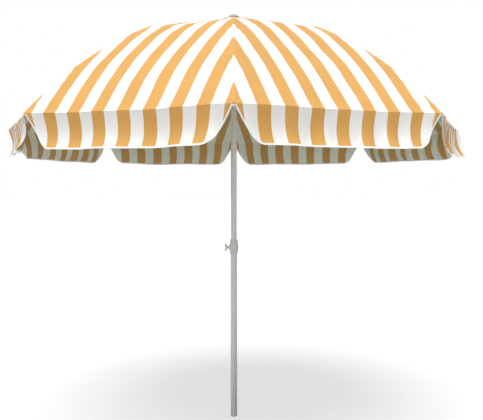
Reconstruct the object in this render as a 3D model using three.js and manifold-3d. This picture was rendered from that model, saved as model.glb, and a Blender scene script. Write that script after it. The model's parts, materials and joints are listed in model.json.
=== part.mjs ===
// Beach umbrella: a telescopic pole with a height collar, eight folding ribs with stretchers on
// a sliding runner, and a striped canopy of eight panels with a hanging valance.
// Millimetres, +Z up, origin at the centre of the pole's foot. Rib 1 points along -Y, and the
// ribs are numbered anticlockwise from it, seen from above.
import * as THREE from 'three';
import { mergeVertices } from 'three/addons/utils/BufferGeometryUtils.js';
import Module from 'manifold-3d';

const wasm = await Module();
wasm.setup();

const { degToRad } = THREE.MathUtils;

// ---------- Driving dimensions ----------
const GAP = 0.3; // clearance between pieces that touch
const TURN_SIDES = 32; // sides of a turned piece
const PIN_SIDES = 6; // sides of a thin pin or rod

const RIBS = 8;
const FIRST_RIB = degToRad(-90);
const RIB_STEP = (2 * Math.PI) / RIBS;

// Pole
const LOWER_RADIUS = 16.3;
const UPPER_RADIUS = 14.8;
const TUBE_WALL = 1.2;
const LOWER_TOP = 866;
const UPPER_BOTTOM = 430;
const UPPER_TOP = 2036;
const FOOT_RADIUS = 17.4;
const FOOT_HEIGHT = 12.5;

// Height collar and its wing screw, which points along -X
const COLLAR_BOTTOM = 846;
const COLLAR_TOP = 921;
const COLLAR_RADIUS = 23;
const COLLAR_NECK = 18.6;
const SCREW_Z = 880;
const SCREW_RADIUS = 3;
const BOSS_REACH = 28;
const WING_REACH = 48;
const WING_SPAN = 39;

// Crown hub, above and below the ribs' pivots
const PIVOT_RADIUS = 28;
const CROWN_PIVOT_Z = 2032;
const HUB_ABOVE = 12;
const HUB_BELOW = 34;
const HUB_NECK = 21.5;
const RING_WIRE = 1.25; // radius of the wire that the ribs are threaded on

// Ribs: a straight inner rib and a bent outer rib
const INNER_LENGTH = 519.7;
const INNER_SLOPE = degToRad(13.68);
const OUTER_CHORD = 750;
const OUTER_SLOPE = degToRad(35.45);
const OUTER_BEND = degToRad(10.75); // the rod's slope changes by twice this from end to end
const LUG_DROP = 12; // the stretcher's rivet below the inner rib's middle line
const ROD_RADIUS = 2.6;
const CHANNEL_WIDTH = 7;
const CHANNEL_HEIGHT = 7;
const SHEET = 1.2;
const EYE_RADIUS = 4.5;
const PIN_RADIUS = 1.5;
const TONGUE = 4;

// Runner
const RUNNER_RADIUS = 20;
const RUNNER_BELOW = 60; // sleeve below the stretcher pins
const FLANGE_RADIUS = 36;
const FLANGE_HALF = 11;
const RUNNER_PIN = 2;
const BUTTON_RADIUS = 5;
const BUTTON_BELOW = 40; // from the stretcher pins down to the button
const BUTTON_TRAVEL = 3;

// Canopy
const APEX_Z = 2060;
const CAP_TOP = 2068;
const CAP_RADIUS = 30;
const CAP_STUD = 6;
const FABRIC_RISE = 9; // cloth's outer face above the ribs' middle line
const FABRIC = 2; // thickness
const APEX_HOLE = 10;
const VALANCE_DROP = 137;
const FLAP_START = 14; // from the rib tip to the flap's upper corner
const FLAP_TAPER = 64; // how far the flap's side edge runs in on its way down
const FLAP_CORNER = 45;

// ---------- Worked-out places, in the plane of a rib: [distance from the axis, height] ----------
const crownPivot = [PIVOT_RADIUS, CROWN_PIVOT_Z];
const knuckle = along(crownPivot, INNER_LENGTH, INNER_SLOPE);
const rivet = along(knuckle, LUG_DROP, INNER_SLOPE + Math.PI / 2);
const ribTip = along(knuckle, OUTER_CHORD, OUTER_SLOPE);
const runnerPivot = [PIVOT_RADIUS, 2 * rivet[1] - CROWN_PIVOT_Z];
const halfPanel = Math.cos(RIB_STEP / 2); // panel's middle line over the rib's radius

// A point at a distance from another, in the direction that falls by an angle below horizontal.
function along([x, z], distance, slope) {
  return [x + distance * Math.cos(slope), z - distance * Math.sin(slope)];
}

// Points of the outer rib's arc, raised by some distance, from one share of it to another.
function outerArc(rise, from, to, steps) {
  const radius = OUTER_CHORD / 2 / Math.sin(OUTER_BEND);
  const centre = along(knuckle, radius, OUTER_SLOPE - OUTER_BEND + Math.PI / 2);
  return Array.from({ length: steps + 1 }, (_, i) => {
    const share = from + ((to - from) * i) / steps;
    const slope = OUTER_SLOPE + OUTER_BEND * (2 * share - 1);
    return along(centre, radius + rise, slope - Math.PI / 2);
  });
}

// The cloth's outer face over a rib, from the apex to the rim.
function fabricLine() {
  const raised = (share) =>
    along(along(crownPivot, share * INNER_LENGTH, INNER_SLOPE), FABRIC_RISE, INNER_SLOPE - Math.PI / 2);
  const inner = [raised(0.2), raised(0.9), raised(0.98)];
  return [[0, APEX_Z], ...inner, ...outerArc(FABRIC_RISE, 0.02, 1, 10)];
}

// ---------- Solids ----------
function toSolid(geometry) {
  const plain = geometry.clone();
  plain.deleteAttribute('normal');
  plain.deleteAttribute('uv');
  const merged = mergeVertices(plain, 1e-4);
  return new wasm.Manifold(
    new wasm.Mesh({
      numProp: 3,
      vertProperties: merged.attributes.position.array,
      triVerts: new Uint32Array(merged.index.array),
    }),
  );
}

function toGeometry(solid) {
  const mesh = solid.getMesh();
  const geometry = new THREE.BufferGeometry();
  geometry.setAttribute('position', new THREE.BufferAttribute(mesh.vertProperties, 3));
  geometry.setIndex(new THREE.BufferAttribute(mesh.triVerts, 1));
  const faceted = geometry.toNonIndexed();
  faceted.computeVertexNormals();
  return faceted;
}

// Joins the first list's geometries and cuts the second list's from them.
function shaped(joined, cut = []) {
  let solid = joined.map(toSolid).reduce((all, one) => all.add(one));
  for (const tool of cut) solid = solid.subtract(toSolid(tool));
  return toGeometry(solid);
}

// A body turned about the Z axis from a profile of [radius, height] points, anticlockwise.
function turned(profile, segments) {
  const points = profile.map(([radius, z]) => new THREE.Vector2(radius, z));
  return new THREE.LatheGeometry(points, segments).rotateX(Math.PI / 2);
}

function tube(outer, inner, bottom, top, segments) {
  const profile = [[inner, bottom], [outer, bottom], [outer, top], [inner, top], [inner, bottom]];
  return turned(profile, segments);
}

function disc(radius, bottom, top, segments) {
  return turned([[0, bottom], [radius, bottom], [radius, top], [0, top]], segments);
}

// A flat plate in the plane of a rib, centred on it or beside it.
function plate(shape, thickness, y = 0) {
  const options = { depth: thickness, bevelEnabled: false, curveSegments: 2 };
  const geometry = new THREE.ExtrudeGeometry(shape, options);
  return geometry.rotateX(Math.PI / 2).translate(0, y + thickness / 2, 0);
}

// A round pin across the plane of a rib.
function crossPin([x, z], radius, length, sides = PIN_SIDES) {
  return new THREE.CylinderGeometry(radius, radius, length, sides).translate(x, 0, z);
}

// A round rod in the plane of a rib.
function rod([x0, z0], [x1, z1], radius, sides = PIN_SIDES) {
  const length = Math.hypot(x1 - x0, z1 - z0);
  return new THREE.CylinderGeometry(radius, radius, length, sides)
    .rotateX(Math.PI / 2)
    .rotateY(Math.atan2(x1 - x0, z1 - z0))
    .translate((x0 + x1) / 2, 0, (z0 + z1) / 2);
}

// A round eye with a short neck in one direction, as a flat plate outline.
function eyeShape([x, z], radius, neck, slope, half) {
  const opening = Math.asin(half / radius);
  const end = along([x, z], neck, slope);
  const [sx, sz] = [Math.sin(slope) * half, Math.cos(slope) * half];
  const shape = new THREE.Shape();
  shape.absarc(x, z, radius, -slope + opening, -slope - opening + 2 * Math.PI, false);
  shape.lineTo(end[0] - sx, end[1] - sz);
  shape.lineTo(end[0] + sx, end[1] + sz);
  shape.closePath();
  return shape;
}

// Turns a geometry made along +X so that it falls from a point at a slope.
function laid(geometry, [x, z], slope) {
  return geometry.rotateY(slope).translate(x, 0, z);
}

// ---------- Pole ----------
function footPlug() {
  const bore = LOWER_RADIUS - TUBE_WALL - GAP;
  return turned(
    [
      [0, 0], [FOOT_RADIUS - 1.5, 0], [FOOT_RADIUS, 1.5], [FOOT_RADIUS, FOOT_HEIGHT - 1],
      [FOOT_RADIUS - 1, FOOT_HEIGHT], [bore, FOOT_HEIGHT], [bore, 38], [bore - 1, 40], [0, 40],
    ],
    TURN_SIDES,
  );
}

function lowerTube() {
  return tube(LOWER_RADIUS, LOWER_RADIUS - TUBE_WALL, FOOT_HEIGHT + GAP, LOWER_TOP, 48);
}

function upperTube() {
  return tube(UPPER_RADIUS, UPPER_RADIUS - TUBE_WALL, UPPER_BOTTOM, UPPER_TOP, 48);
}

function guideBush() {
  const spigot = UPPER_RADIUS - TUBE_WALL - GAP;
  const shoulder = UPPER_BOTTOM - GAP;
  return turned(
    [
      [10, shoulder - 12], [UPPER_RADIUS - 1, shoulder - 12], [UPPER_RADIUS, shoulder - 11],
      [UPPER_RADIUS, shoulder], [spigot, shoulder], [spigot, shoulder + 18], [10, shoulder + 18],
      [10, shoulder - 12],
    ],
    32,
  );
}

// A cylinder along the wing screw's axis, between two distances from the pole's axis.
function radialPin(radius, from, to, sides) {
  return new THREE.CylinderGeometry(radius, radius, to - from, sides)
    .rotateZ(Math.PI / 2)
    .translate(-(from + to) / 2, 0, SCREW_Z);
}

const NUT_RADIUS = 6.4;
const NUT_FROM = 21;
const NUT_TO = 27;

function heightCollar() {
  const lowerBore = LOWER_RADIUS + GAP;
  const upperBore = UPPER_RADIUS + GAP;
  const spindle = turned(
    [
      [0, COLLAR_BOTTOM], [COLLAR_NECK, COLLAR_BOTTOM], [COLLAR_NECK + 1.4, COLLAR_BOTTOM + 6],
      [COLLAR_RADIUS, SCREW_Z - 7], [COLLAR_RADIUS, SCREW_Z + 7],
      [COLLAR_NECK + 2, SCREW_Z + 22], [COLLAR_NECK, COLLAR_TOP - 2],
      [COLLAR_NECK - 1, COLLAR_TOP], [0, COLLAR_TOP],
    ],
    TURN_SIDES,
  );
  return shaped(
    [spindle, radialPin(9.5, 14, BOSS_REACH, 24)],
    [
      disc(lowerBore, COLLAR_BOTTOM - 1, LOWER_TOP + GAP, TURN_SIDES),
      disc(upperBore, LOWER_TOP - 1, COLLAR_TOP + 1, TURN_SIDES),
      radialPin(SCREW_RADIUS + GAP, 10, BOSS_REACH + 1, 12),
      radialPin(NUT_RADIUS + GAP, NUT_FROM - GAP, BOSS_REACH + 1, 6),
    ],
  );
}

function clampNut() {
  const hole = radialPin(SCREW_RADIUS + GAP, NUT_FROM - 1, NUT_TO + 1, 12);
  return shaped([radialPin(NUT_RADIUS, NUT_FROM, NUT_TO, 6)], [hole]);
}

// One wing of the screw's head, above the screw's axis.
function wingShape() {
  const [inner, outer, top] = [BOSS_REACH + 5, WING_REACH, WING_SPAN / 2];
  const shape = new THREE.Shape();
  shape.moveTo(-inner, -2);
  shape.quadraticCurveTo(-inner - 1, 9, -inner - 5, top - 3);
  shape.quadraticCurveTo(-inner - 6, top, -inner - 9, top);
  shape.quadraticCurveTo(-outer, top, -outer, top - 5);
  shape.quadraticCurveTo(-outer + 1, 9, -outer + 5, -2);
  shape.closePath();
  return shape;
}

function clampScrew() {
  const wing = plate(wingShape(), 5).translate(0, 0, SCREW_Z);
  const other = plate(wingShape(), 5).rotateX(Math.PI).translate(0, 0, SCREW_Z);
  return shaped([
    radialPin(SCREW_RADIUS, UPPER_RADIUS + 0.6, BOSS_REACH + 4, 12),
    radialPin(7, BOSS_REACH + 1, WING_REACH - 6, 20),
    wing,
    other,
  ]);
}

// ---------- Crown ----------
// A slot for each rib: open outwards and downwards, as wide as stated.
function slots(width, floor, bottom, top) {
  return Array.from({ length: RIBS }, (_, i) =>
    new THREE.BoxGeometry(FLANGE_RADIUS, width, top - bottom)
      .translate(floor + FLANGE_RADIUS / 2, 0, (top + bottom) / 2)
      .rotateZ(ribAngle(i)),
  );
}

const SLOT_FLOOR = PIVOT_RADIUS - EYE_RADIUS - 0.7;
function ringSolid(wire) {
  return new THREE.TorusGeometry(PIVOT_RADIUS, wire, 6, 32).translate(0, 0, CROWN_PIVOT_Z);
}

function crownHub() {
  const [bottom, top] = [CROWN_PIVOT_Z - HUB_BELOW, CROWN_PIVOT_Z + HUB_ABOVE];
  const body = turned(
    [
      [0, bottom], [HUB_NECK - 2.5, bottom], [HUB_NECK, bottom + 4],
      [HUB_NECK, CROWN_PIVOT_Z - 13],
      [FLANGE_RADIUS, CROWN_PIVOT_Z - 10], [FLANGE_RADIUS, top - 3], [FLANGE_RADIUS - 4, top],
      [0, top],
    ],
    TURN_SIDES,
  );
  return shaped(
    [body],
    [
      disc(UPPER_RADIUS + GAP, bottom - 1, UPPER_TOP + GAP, TURN_SIDES),
      ...slots(CHANNEL_WIDTH + 0.8, SLOT_FLOOR, bottom - 1, CROWN_PIVOT_Z + EYE_RADIUS + 0.8),
      ringSolid(RING_WIRE + GAP),
    ],
  );
}

function crownCap() {
  const fall = (APEX_Z - fabricLine()[1][1]) / fabricLine()[1][0];
  const under = APEX_Z + 0.6;
  const seat = CROWN_PIVOT_Z + HUB_ABOVE + GAP;
  return turned(
    [
      [0, seat], [CAP_STUD, seat], [CAP_STUD, under - CAP_STUD * fall],
      [CAP_RADIUS, under - CAP_RADIUS * fall], [CAP_RADIUS + 0.8, under - CAP_RADIUS * fall + 1.6],
      [CAP_RADIUS - 2, under - CAP_RADIUS * fall + 5], [18, CAP_TOP - 3.2], [8, CAP_TOP - 0.6],
      [0, CAP_TOP],
    ],
    TURN_SIDES,
  );
}

// ---------- Runner ----------
function runnerSleeve() {
  const middle = runnerPivot[1];
  const bottom = middle - RUNNER_BELOW;
  const body = turned(
    [
      [0, bottom], [RUNNER_RADIUS - 1, bottom], [RUNNER_RADIUS, bottom + 1],
      [RUNNER_RADIUS, middle - FLANGE_HALF - 8], [FLANGE_RADIUS - 2, middle - FLANGE_HALF],
      [FLANGE_RADIUS, middle - FLANGE_HALF + 2], [FLANGE_RADIUS, middle + FLANGE_HALF - 2],
      [FLANGE_RADIUS - 2, middle + FLANGE_HALF], [0, middle + FLANGE_HALF],
    ],
    TURN_SIDES,
  );
  const grooves = Array.from({ length: RIBS }, (_, i) =>
    new THREE.BoxGeometry(2 * RUNNER_PIN + 0.8, 13, 3 * FLANGE_HALF)
      .translate(PIVOT_RADIUS, 0, middle - 2)
      .rotateZ(ribAngle(i)),
  );
  return shaped(
    [body],
    [
      disc(UPPER_RADIUS + GAP, bottom - 1, middle + FLANGE_HALF + 1, TURN_SIDES),
      ...slots(6, SLOT_FLOOR, middle - FLANGE_HALF - 9, middle + FLANGE_HALF + 1),
      ...grooves,
      buttonPin(BUTTON_RADIUS + GAP, 10, RUNNER_RADIUS + 1),
    ],
  );
}

// A cylinder along the button's axis, halfway between two ribs.
function buttonPin(radius, from, to) {
  return new THREE.CylinderGeometry(radius, radius, to - from, 16)
    .rotateZ(Math.PI / 2)
    .translate((from + to) / 2, 0, runnerPivot[1] - BUTTON_BELOW)
    .rotateZ(panelAngle(0));
}

function runnerButton() {
  return buttonPin(BUTTON_RADIUS, UPPER_RADIUS + GAP + BUTTON_TRAVEL, RUNNER_RADIUS + 5);
}

// ---------- Ribs and stretchers, each in the plane of the X and Z axes ----------
// One side wall of the inner rib, along +X from the crown's ring, with its lug for the stretcher.
function channelWall() {
  const half = CHANNEL_HEIGHT / 2;
  const end = INNER_LENGTH;
  const wall = new THREE.Shape();
  wall.absarc(0, 0, EYE_RADIUS, degToRad(50), degToRad(310), false);
  wall.lineTo(EYE_RADIUS + 3, -half);
  wall.lineTo(end - 24, -half);
  wall.lineTo(end - EYE_RADIUS, -LUG_DROP);
  wall.absarc(end, -LUG_DROP, EYE_RADIUS, degToRad(180), degToRad(360), false);
  wall.lineTo(end + EYE_RADIUS, 0);
  wall.absarc(end, 0, EYE_RADIUS, 0, degToRad(90), false);
  wall.lineTo(end - EYE_RADIUS - 3, half);
  wall.lineTo(EYE_RADIUS + 3, half);
  wall.closePath();
  return wall;
}

function innerRib() {
  const side = (CHANNEL_WIDTH - SHEET) / 2;
  const [webFrom, webTo] = [EYE_RADIUS + 3.5, INNER_LENGTH - EYE_RADIUS - 3.5];
  const web = new THREE.BoxGeometry(webTo - webFrom, CHANNEL_WIDTH - SHEET, SHEET).translate(
    (webFrom + webTo) / 2, 0, (CHANNEL_HEIGHT - SHEET) / 2,
  );
  const wide = CHANNEL_WIDTH + 2;
  const rib = shaped(
    [plate(channelWall(), SHEET, side), plate(channelWall(), SHEET, -side), web],
    [
      crossPin([0, 0], RING_WIRE + 0.7, wide),
      crossPin([INNER_LENGTH, 0], PIN_RADIUS + GAP, wide),
      crossPin([INNER_LENGTH, -LUG_DROP], PIN_RADIUS + GAP, wide),
    ],
  );
  return laid(rib, crownPivot, INNER_SLOPE);
}

// The bent spring rod, as a round section carried along its arc.
function outerRib() {
  const slope = OUTER_SLOPE - OUTER_BEND;
  const route = outerArc(0, 0.0095, 1, 8).map(([x, z]) => new THREE.Vector3(x, 0, z));
  const round = new THREE.Path().absarc(0, 0, ROD_RADIUS, 0, 2 * Math.PI);
  const section = new THREE.Shape(round.getPoints(PIN_SIDES / 2));
  const bentRod = new THREE.ExtrudeGeometry(section, {
    steps: 8,
    extrudePath: new THREE.CatmullRomCurve3(route),
  });
  return shaped([
    bentRod,
    plate(eyeShape(knuckle, EYE_RADIUS - 0.5, 11, slope, 2.1), TONGUE),
    crossPin(knuckle, PIN_RADIUS, CHANNEL_WIDTH),
  ]);
}

function ribTipCap() {
  const cap = turned(
    [
      [0, 6], [3.6, 4.6], [5, 0.6], [4.4, -12], [ROD_RADIUS + GAP, -12], [ROD_RADIUS + GAP, GAP],
      [0, GAP],
    ].reverse(),
    10,
  );
  return laid(cap.rotateY(Math.PI / 2), ribTip, OUTER_SLOPE + OUTER_BEND);
}

function stretcher() {
  const slope = Math.atan2(rivet[1] - runnerPivot[1], rivet[0] - runnerPivot[0]);
  const inward = Math.PI - slope;
  return shaped([
    rod(along(rivet, 8, inward), along(runnerPivot, 6, -slope), ROD_RADIUS),
    plate(eyeShape(rivet, EYE_RADIUS - 0.5, 12, inward, 2.1), TONGUE),
    plate(eyeShape(runnerPivot, EYE_RADIUS - 0.5, 12, -slope, 2.1), TONGUE),
    crossPin(rivet, PIN_RADIUS, CHANNEL_WIDTH),
    crossPin(runnerPivot, RUNNER_PIN, 12),
  ]);
}

// ---------- Canopy, each piece with its panel's middle line along +X ----------
// The points of a line moved square to it, to the right of its direction.
function offsetLine(points, distance) {
  return points.map(([x, z], i) => {
    const before = points[Math.max(i - 1, 0)];
    const after = points[Math.min(i + 1, points.length - 1)];
    const run = Math.hypot(after[0] - before[0], after[1] - before[1]);
    const square = [(after[1] - before[1]) / run, (before[0] - after[0]) / run];
    return [x + distance * square[0], z + distance * square[1]];
  });
}

// A panel is straight from rib to rib, so it is a bent strip cut to a wedge.
function canopyPanel() {
  const outer = fabricLine().map(([x, z]) => [x * halfPanel, z]);
  const section = [...outer, ...offsetLine(outer, FABRIC).reverse()];
  const strip = new THREE.Shape(section.map(([x, z]) => new THREE.Vector2(x, z)));
  const width = 2 * ribTip[0] * Math.sin(RIB_STEP / 2) + 50;
  const [near, far] = [APEX_HOLE, ribTip[0] + 50];
  const seam = (x) => x * Math.tan(RIB_STEP / 2) - GAP;
  const wedge = new THREE.Shape([
    new THREE.Vector2(near, -seam(near)),
    new THREE.Vector2(far, -seam(far)),
    new THREE.Vector2(far, seam(far)),
    new THREE.Vector2(near, seam(near)),
  ]);
  const cutter = new THREE.ExtrudeGeometry(wedge, { depth: APEX_Z, bevelEnabled: false });
  return toGeometry(toSolid(plate(strip, width)).intersect(toSolid(cutter)));
}

// The flap hangs in the upright plane of the rim, with its lower corners rounded.
function valanceFlap() {
  const rim = fabricLine().at(-1);
  const half = rim[0] * Math.sin(RIB_STEP / 2) - FLAP_START;
  const top = rim[1] - FABRIC - 1.4;
  const bottom = rim[1] - VALANCE_DROP;
  const corner = half - FLAP_TAPER + FLAP_START;
  const shape = new THREE.Shape();
  shape.moveTo(-half, top);
  shape.lineTo(-corner - FLAP_CORNER * 0.5, bottom + FLAP_CORNER);
  shape.quadraticCurveTo(-corner, bottom, -corner + FLAP_CORNER, bottom);
  shape.lineTo(corner - FLAP_CORNER, bottom);
  shape.quadraticCurveTo(corner, bottom, corner + FLAP_CORNER * 0.5, bottom + FLAP_CORNER);
  shape.lineTo(half, top);
  shape.closePath();
  const flap = plate(shape, FABRIC).rotateZ(Math.PI / 2);
  return flap.translate(rim[0] * halfPanel - FABRIC / 2, 0, 0);
}

// ---------- Materials ----------
const finish = (color, roughness, metalness = 0) =>
  new THREE.MeshStandardMaterial({ color, roughness, metalness });
const greyPaint = () => finish(0xbebbb8, 0.45, 0.2);
const greyPlastic = () => finish(0xc4c3c1, 0.55);
const steel = () => finish(0xa9abad, 0.35, 0.9);
const creamPlastic = () => finish(0xf1ece0, 0.5);
const orangeCloth = () => finish(0xf5a64a, 0.85);

// ---------- Assembly ----------
function ribAngle(i) {
  return FIRST_RIB + i * RIB_STEP;
}

function panelAngle(i) {
  return ribAngle(i) + RIB_STEP / 2;
}

const group = new THREE.Group();

function addPiece(name, geometry, material, angle = 0) {
  const mesh = new THREE.Mesh(geometry, material);
  mesh.name = name;
  mesh.rotation.z = angle;
  group.add(mesh);
}

addPiece('foot_plug', footPlug(), greyPlastic());
addPiece('lower_tube', lowerTube(), greyPaint());
addPiece('height_collar', heightCollar(), greyPlastic());
addPiece('clamp_nut', clampNut(), steel());
addPiece('clamp_screw', clampScrew(), greyPlastic());
addPiece('upper_tube', upperTube(), greyPaint());
addPiece('guide_bush', guideBush(), greyPlastic());
addPiece('crown_hub', crownHub(), greyPlastic());
addPiece('crown_ring', ringSolid(RING_WIRE), steel());
addPiece('crown_cap', crownCap(), greyPlastic());
addPiece('runner', runnerSleeve(), greyPlastic());
addPiece('runner_button', runnerButton(), steel());

for (let i = 0; i < RIBS; i += 1) {
  const number = i + 1;
  addPiece(`rib_inner_${number}`, innerRib(), steel(), ribAngle(i));
  addPiece(`rib_outer_${number}`, outerRib(), steel(), ribAngle(i));
  addPiece(`rib_tip_${number}`, ribTipCap(), creamPlastic(), ribAngle(i));
  addPiece(`stretcher_${number}`, stretcher(), steel(), ribAngle(i));
  addPiece(`canopy_panel_${number}`, canopyPanel(), orangeCloth(), panelAngle(i));
  addPiece(`valance_flap_${number}`, valanceFlap(), orangeCloth(), panelAngle(i));
}

export default group;
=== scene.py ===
"""Beach umbrella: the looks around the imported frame, in metres, +Z up."""

import json
import math

import bpy
import numpy as np
from mathutils import Matrix, Vector


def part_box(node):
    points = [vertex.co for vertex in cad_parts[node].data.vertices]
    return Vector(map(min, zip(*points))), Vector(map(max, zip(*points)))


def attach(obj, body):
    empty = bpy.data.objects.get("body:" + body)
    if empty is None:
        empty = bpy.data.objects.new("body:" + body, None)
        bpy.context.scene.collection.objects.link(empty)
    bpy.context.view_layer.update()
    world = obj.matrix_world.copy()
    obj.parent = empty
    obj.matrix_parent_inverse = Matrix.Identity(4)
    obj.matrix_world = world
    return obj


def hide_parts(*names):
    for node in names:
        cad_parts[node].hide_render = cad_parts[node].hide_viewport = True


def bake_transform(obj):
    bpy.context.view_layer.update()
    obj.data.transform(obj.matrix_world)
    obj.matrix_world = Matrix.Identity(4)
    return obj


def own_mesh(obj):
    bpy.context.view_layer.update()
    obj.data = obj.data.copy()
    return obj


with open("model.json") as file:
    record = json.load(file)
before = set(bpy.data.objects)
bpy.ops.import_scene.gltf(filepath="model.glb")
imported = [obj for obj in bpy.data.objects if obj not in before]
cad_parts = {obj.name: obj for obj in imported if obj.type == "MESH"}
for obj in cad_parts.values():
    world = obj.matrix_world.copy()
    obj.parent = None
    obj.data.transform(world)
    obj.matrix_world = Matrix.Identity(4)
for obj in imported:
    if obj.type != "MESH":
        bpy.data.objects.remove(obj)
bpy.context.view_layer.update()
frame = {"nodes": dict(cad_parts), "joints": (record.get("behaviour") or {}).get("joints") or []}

# ---------- Places taken from the frame ----------
JOINTS = {j["name"]: j for j in frame["joints"]}
RIBS = sum(name.startswith("rib_fold_") for name in JOINTS)
STEP = 2 * math.pi / RIBS
HALF_STEP = STEP / 2
FIRST_RIB = math.atan2(*reversed(JOINTS["rib_fold_1"]["pos_m"][:2]))


def in_rib_plane(joint):
    """A joint's place in the plane of its rib: distance from the axis, and height."""
    x, y, z = JOINTS[joint]["pos_m"]
    return np.array([math.hypot(x, y), z])


CROWN = in_rib_plane("rib_fold_1")
KNUCKLE = in_rib_plane("rib_flex_1")
RIVET = in_rib_plane("stretcher_fold_1")
TIP = in_rib_plane("valance_hang_1")
RUNNER = np.array([CROWN[0], 2 * RIVET[1] - CROWN[1]])
APEX_Z = 2.060
HEM_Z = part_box("valance_flap_1")[0].z

# ---------- Driving dimensions ----------
OUTER_BEND = math.radians(10.75)  # half of the outer rib's change of slope
CLOTH_RISE = 0.009  # cloth's outer face above the ribs' middle line
CLOTH = 0.0008  # thickness
STRIPE = 0.0543  # width
BEND_REACH = 0.035  # how far the cloth rounds off the bend over the knuckle
FLAP_START = 0.003  # from the rib tip to the flap's side edge at the rim, and at the hem
FLAP_TAPER = 0.088
FLAP_CORNER = 0.032  # radius
BINDING = 0.0060  # width of the tape on the flaps' edges
ROD = 0.0026  # radius
SAG = 0.007  # cloth's droop in the middle of a panel at the rim
FOLD_RISE = 0.0009  # of a felled seam or hem above the cloth
CROWN_CLOTH = 0.030  # radius of the still cloth under the cap
COLLAR_BENT = 0.050  # radius part way across the collar
COLLAR = 0.060  # radius where the collar gives way to the panels' rings of cloth
COLLAR_ROWS = 16
CROWN_EDGE = 0.010  # along the cloth, from the apex to the crown cloth's inner edge
# The rings of cloth over the ribs: name, radius where each ends, rows of points, and the share
# of its width that is left. The radii and the shares were chosen on renders of the closed
# canopy. They aren't measured or fitted.
RINGS = (
    ("top", 0.090, 8, 0.70),
    ("upper", 0.140, 9, 0.46),
    ("middle", 0.270, 17, 0.275),
    ("lower", 0.390, 15, 0.205),
    ("inner", KNUCKLE[0], 17, 0.165),
    ("outer", TIP[0], 84, 0.125),
)
CLOTH_KEEP = RINGS[-1][-1]  # the rim's share
PLEAT_TILT = math.radians(3)
FLAP_GAP = 0.0006  # between the rim and the flap that hangs from it
FLAP_ROWS = 44
TAPE_OVERHANG = 0.0012  # of the binding past the cloth's edge
TAPE_RISE = 0.0009
EYE_REACH = 0.004  # a rod's end past the middle of its eye
RIB_RIVET = (0.0088, 0.0021)  # length and radius
RUNNER_PIN = (0.0118, 0.0017)
SEED = 5

# ---------- Studio ----------
FILL = 0.28  # strength of the light from all round
KEY = 3.1
KEY_WAY = (0.08, 0.29, -1.0)
KEY_SPREAD = math.radians(50)
SIDE_LIGHT = 0.98
SIDE_WAY = (0.78, 0.60, -0.14)
SIDE_SPREAD = math.radians(70)
LOW_PANEL = 16
LOW_PANEL_PLACE = (1.5, -3.3, 0.70)
LOW_PANEL_TARGET = (0, 0, 1.40)
LOW_PANEL_SIZE = 1.2
FLOOR_GLOW = 0.60
FLOOR_RADIUS = 60
FLOOR_TOP = -0.0005
FLOOR_UNDER = -0.02
CAMERA_PLACE = (0.0, -3.389, 1.203)
CAMERA_DOWN = 2.2  # degrees
CAMERA_TURN = -0.67  # degrees
LENS = 49.1

rng = np.random.default_rng(SEED)


def slope_of(start, end):
    return math.atan2(start[1] - end[1], end[0] - start[0])


def falling(angle):
    """Unit vector that falls by an angle below horizontal, in the plane of a rib."""
    return np.array([math.cos(angle), -math.sin(angle)])


# ---------- The line of the cloth over a rib ----------
def rod_arc(rise, count):
    """Points of the outer rib, from knuckle to tip, raised square to it."""
    chord = np.linalg.norm(TIP - KNUCKLE)
    slope = slope_of(KNUCKLE, TIP)
    radius = chord / 2 / math.sin(OUTER_BEND)
    centre = KNUCKLE + radius * falling(slope - OUTER_BEND + math.pi / 2)
    turns = slope + OUTER_BEND * np.linspace(-1, 1, count) - math.pi / 2
    return np.array([centre + (radius + rise) * falling(t) for t in turns])


def resampled(points, count):
    gone = np.concatenate([[0], np.cumsum(np.linalg.norm(np.diff(points, axis=0), axis=1))])
    at = np.linspace(0, gone[-1], count)
    return np.stack([np.interp(at, gone, points[:, k]) for k in range(2)], -1)


def cloth_line():
    """The cloth's outer face over a rib, from apex to rim, with the bend rounded off."""
    slope = slope_of(CROWN, KNUCKLE)
    length = np.linalg.norm(KNUCKLE - CROWN)
    square = falling(slope - math.pi / 2) * CLOTH_RISE
    inner = [CROWN + falling(slope) * length * s + square for s in np.linspace(0.2, 0.995, 30)]
    line = resampled(np.array([[0, APEX_Z], *inner, *rod_arc(CLOTH_RISE, 40)]), 1401)
    spacing = np.linalg.norm(line[1] - line[0])
    reach = int(BEND_REACH / spacing)
    kernel = np.hanning(2 * reach + 1)
    ends = [2 * line[0] - line[reach:0:-1], line, 2 * line[-1] - line[-2 : -reach - 2 : -1]]
    padded = np.concatenate(ends)
    smooth = [np.convolve(padded[:, k], kernel / kernel.sum(), "valid") for k in range(2)]
    return np.stack(smooth, -1)


LINE = cloth_line()
LINE_AT = np.concatenate([[0], np.cumsum(np.linalg.norm(np.diff(LINE, axis=0), axis=1))])
LENGTH = LINE_AT[-1]
PANEL_SCALE = math.cos(HALF_STEP)
FLAT = np.stack([LINE[:, 0] * PANEL_SCALE, LINE[:, 1]], -1)
FLAT_AT = np.concatenate([[0], np.cumsum(np.linalg.norm(np.diff(FLAT, axis=0), axis=1))])
RIM_HALF = LINE[-1, 0] * math.sin(HALF_STEP)
DROP = LINE[-1, 1] - HEM_Z
SLOPE_REACH = 0.004  # the slope at a point is taken over this length to either side


def on_line(at):
    """Radius, height, and fall of height per radius, at a length along a rib."""
    radius, height = (np.interp(at, LINE_AT, LINE[:, k]) for k in range(2))
    ahead = np.clip(at + SLOPE_REACH, 0, LENGTH)
    behind = np.clip(at - SLOPE_REACH, 0, LENGTH)
    run = np.interp(ahead, LINE_AT, LINE[:, 0]) - np.interp(behind, LINE_AT, LINE[:, 0])
    fall = np.interp(behind, LINE_AT, LINE[:, 1]) - np.interp(ahead, LINE_AT, LINE[:, 1])
    return radius, height, fall / run


def at_radius(radius):
    return float(np.interp(radius, LINE[:, 0], LINE_AT))


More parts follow.
